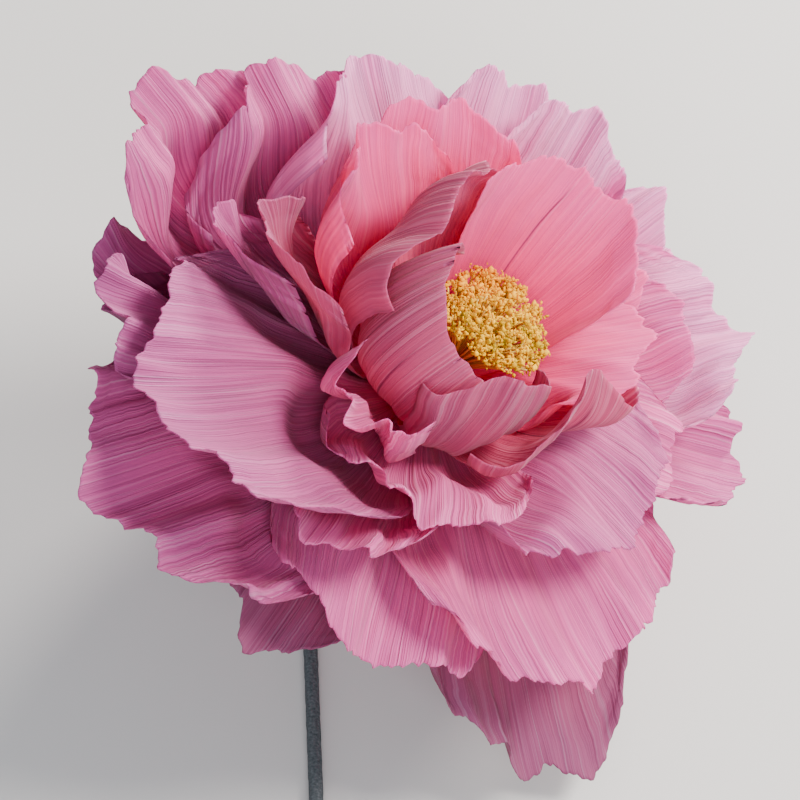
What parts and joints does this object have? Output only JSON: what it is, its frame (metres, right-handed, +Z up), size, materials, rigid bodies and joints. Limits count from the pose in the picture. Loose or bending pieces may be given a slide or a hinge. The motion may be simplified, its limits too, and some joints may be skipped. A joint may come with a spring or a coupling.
{
  "type": "crepe paper peony",
  "caption": "Large ruffled pink crepe paper peony with yellow fringed stamens on a paper-wrapped wire stem, lying with its neck bent",
  "frame": {"origin": "centre of the bounding box's bottom face, on the table top the flower lies on", "axes": "+Z up from the table; the stem runs along the table towards -Y and the head is at +Y, leaning towards +X"},
  "size_m": [0.1616, 0.33, 0.1253],
  "materials": {
    "coral": "matt crepe, hot pink to coral, smooth inner petals with a fine midrib crease",
    "rose": "matt crepe, rose pink fading to mauve pink at a frilled edge",
    "mauve": "matt crepe, greyed mauve outer faces",
    "blush": "matt crepe, pale blush pink",
    "core_paper": "rolled paper ball, matt",
    "fringe_paper": "cut cream-yellow crepe fringe",
    "tips_paper": "frayed yellow tips with lime highlights",
    "wire": "florist wire, dull",
    "tape": "grey-green crepe floral tape wound on a spiral"
  },
  "bodies": {
    "root": {"core": "core_paper", "stamen_fringe": "fringe_paper", "stamen_tips": "tips_paper", "petal_cup_left": "mauve", "petal_cup_top": "coral", "petal_cup_front": "mauve", "petal_cup_right": "coral", "petal_cup_fold": "mauve", "petal_cup_back": "mauve", "petal_heart_top": "coral", "petal_tall_a": "coral", "petal_tall_b": "coral", "petal_side_left": "mauve", "petal_frill_left": "rose", "petal_frill_front": "rose", "petal_front_right": "rose", "petal_right_low": "rose", "petal_right_high": "rose", "petal_small_curl": "rose", "petal_big_left": "rose", "petal_top_right": "blush", "petal_top_mid": "blush", "petal_top_back": "blush", "petal_low_left": "rose", "petal_upper_mid": "rose", "petal_upper_left": "rose", "petal_left_mid": "rose", "petal_far_right": "blush", "petal_far_low_right": "rose", "petal_far_top_right": "blush", "petal_low_right": "rose", "petal_low_mid": "rose", "petal_out_left": "rose", "petal_out_low_left": "rose", "petal_hang_left": "mauve", "petal_hang_front": "mauve", "petal_under_right": "rose", "petal_under_top": "rose", "stem_wire": "wire", "stem_wrap": "tape"}
  },
  "joints": []
}
